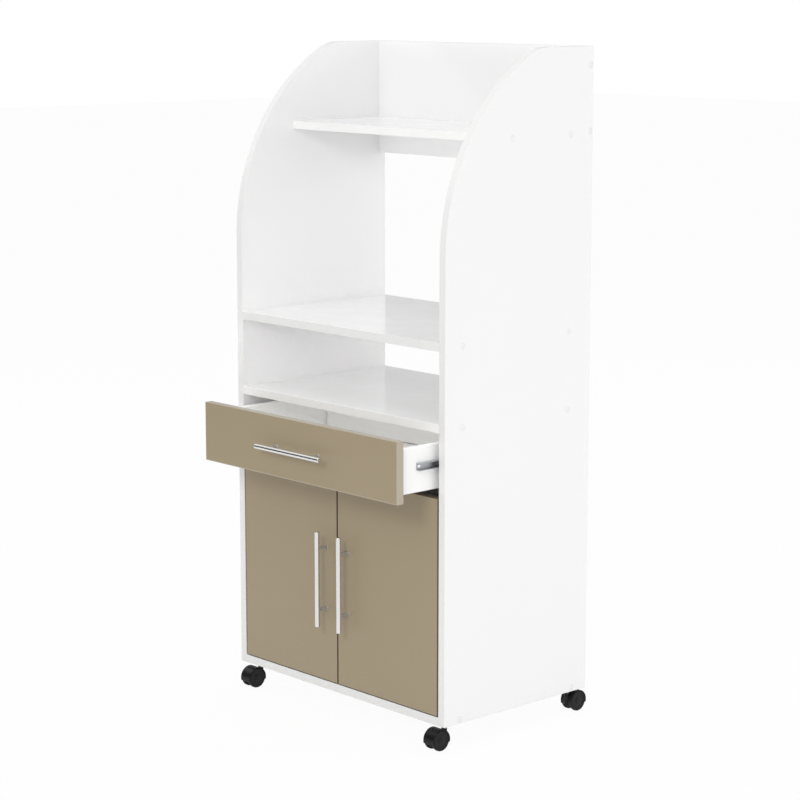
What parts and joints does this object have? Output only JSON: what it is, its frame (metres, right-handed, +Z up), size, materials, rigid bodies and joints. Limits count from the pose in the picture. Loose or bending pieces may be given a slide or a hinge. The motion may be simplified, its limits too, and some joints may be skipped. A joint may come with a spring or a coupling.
{
  "type": "microwave stand",
  "caption": "Tall kitchen microwave stand on castors: curved white side panels, open shelves for a microwave, a taupe drawer with bar handle and a cupboard with hinged doors below.",
  "frame": {"origin": "on the floor under the middle of the stand's outline, with the drawer at its rest opening", "axes": "+Z up, +Y from the front with the doors to the back, +X to the right when facing the front"},
  "size_m": [0.6, 0.5264, 1.293],
  "materials": {
    "white_board": "chipboard faced with glossy white foil",
    "taupe_board": "chipboard faced with satin taupe foil",
    "drawer_board": "white foil-wrapped drawer board",
    "hardboard": "white-painted hardboard",
    "bright_steel": "bright zinc-plated steel",
    "handle_steel": "satin stainless steel",
    "black_plastic": "satin black nylon",
    "white_plastic": "white cover cap",
    "zinc": "die-cast zinc"
  },
  "bodies": {
    "cabinet": {"bottom_panel": "white_board", "cabinet_hardware_screws": "bright_steel", "castor_inserts": "bright_steel", "castor_stems": "bright_steel", "hinge_arm_screws": "bright_steel", "hinge_arms_left": "bright_steel", "hinge_arms_right": "bright_steel", "hinge_plates_left": "bright_steel", "hinge_plates_right": "bright_steel", "lower_back_panel": "hardboard", "lower_shelf": "white_board", "microwave_shelf": "white_board", "panel_screws": "bright_steel", "screw_caps": "white_plastic", "side_panel_left": "white_board", "side_panel_right": "white_board", "slide_rail_left": "bright_steel", "slide_rail_right": "bright_steel", "top_shelf": "white_board", "upper_back_panel": "white_board"},
    "slide_cage_left": {"ball_cage_left": "bright_steel"},
    "slide_cage_right": {"ball_cage_right": "bright_steel"},
    "castor_front_left": {"castor_hood_front_left": "black_plastic"},
    "castor_front_right": {"castor_hood_front_right": "black_plastic"},
    "castor_rear_left": {"castor_hood_rear_left": "black_plastic"},
    "castor_rear_right": {"castor_hood_rear_right": "black_plastic"},
    "wheels_front_left": {"castor_wheels_front_left": "black_plastic"},
    "wheels_front_right": {"castor_wheels_front_right": "black_plastic"},
    "wheels_rear_left": {"castor_wheels_rear_left": "black_plastic"},
    "wheels_rear_right": {"castor_wheels_rear_right": "black_plastic"},
    "door_left": {"door_handle_bar_left": "handle_steel", "door_handle_posts_left": "handle_steel", "door_handle_screws_left": "bright_steel", "door_left": "taupe_board", "hinge_cup_screws_left": "bright_steel", "hinge_cups_left": "bright_steel", "hinge_pins_left": "bright_steel"},
    "door_right": {"door_handle_bar_right": "handle_steel", "door_handle_posts_right": "handle_steel", "door_handle_screws_right": "bright_steel", "door_right": "taupe_board", "hinge_cup_screws_right": "bright_steel", "hinge_cups_right": "bright_steel", "hinge_pins_right": "bright_steel"},
    "drawer": {"drawer_back": "drawer_board", "drawer_back_screws": "bright_steel", "drawer_bottom": "hardboard", "drawer_cam_bolts": "bright_steel", "drawer_cam_locks": "zinc", "drawer_front": "taupe_board", "drawer_handle_bar": "handle_steel", "drawer_handle_posts": "handle_steel", "drawer_handle_screws": "bright_steel", "drawer_runner_left": "bright_steel", "drawer_runner_right": "bright_steel", "drawer_runner_screws": "bright_steel", "drawer_side_left": "drawer_board", "drawer_side_right": "drawer_board"}
  },
  "joints": [
    {"name": "door_left_hinge", "type": "hinge", "parent": "cabinet", "child": "door_left", "pos_m": [-0.271, -0.12845, 0.2745], "axis": [0, 0, -1], "range_deg": [0, 95]},
    {"name": "door_right_hinge", "type": "hinge", "parent": "cabinet", "child": "door_right", "pos_m": [0.271, -0.12845, 0.2745], "axis": [0, 0, 1], "range_deg": [0, 95]},
    {"name": "drawer_slide", "type": "slide", "parent": "cabinet", "child": "drawer", "axis": [0, -1, 0], "range_m": [-0.099, 0.086]},
    {"name": "slide_cage_left", "type": "slide", "parent": "cabinet", "child": "slide_cage_left", "axis": [0, -1, 0], "range_m": [-0.0495, 0.043]},
    {"name": "slide_cage_right", "type": "slide", "parent": "cabinet", "child": "slide_cage_right", "axis": [0, -1, 0], "range_m": [-0.0495, 0.043]},
    {"name": "swivel_front_left", "type": "hinge", "parent": "cabinet", "child": "castor_front_left", "pos_m": [-0.272, -0.10825, 0.036], "axis": [0, 0, 1], "continuous": true},
    {"name": "swivel_front_right", "type": "hinge", "parent": "cabinet", "child": "castor_front_right", "pos_m": [0.272, -0.10825, 0.036], "axis": [0, 0, 1], "continuous": true},
    {"name": "swivel_rear_left", "type": "hinge", "parent": "cabinet", "child": "castor_rear_left", "pos_m": [-0.272, 0.22275, 0.036], "axis": [0, 0, 1], "continuous": true},
    {"name": "swivel_rear_right", "type": "hinge", "parent": "cabinet", "child": "castor_rear_right", "pos_m": [0.272, 0.22275, 0.036], "axis": [0, 0, 1], "continuous": true},
    {"name": "wheel_front_left", "type": "hinge", "parent": "castor_front_left", "child": "wheels_front_left", "pos_m": [-0.272, -0.12725, 0.02], "axis": [1, 0, 0], "continuous": true},
    {"name": "wheel_front_right", "type": "hinge", "parent": "castor_front_right", "child": "wheels_front_right", "pos_m": [0.272, -0.12725, 0.02], "axis": [1, 0, 0], "continuous": true},
    {"name": "wheel_rear_left", "type": "hinge", "parent": "castor_rear_left", "child": "wheels_rear_left", "pos_m": [-0.272, 0.24175, 0.02], "axis": [1, 0, 0], "continuous": true},
    {"name": "wheel_rear_right", "type": "hinge", "parent": "castor_rear_right", "child": "wheels_rear_right", "pos_m": [0.272, 0.24175, 0.02], "axis": [1, 0, 0], "continuous": true}
  ],
  "couplings": [
    {"joint": "slide_cage_left", "follows": "drawer_slide", "ratio": 0.5},
    {"joint": "slide_cage_right", "follows": "drawer_slide", "ratio": 0.5}
  ]
}
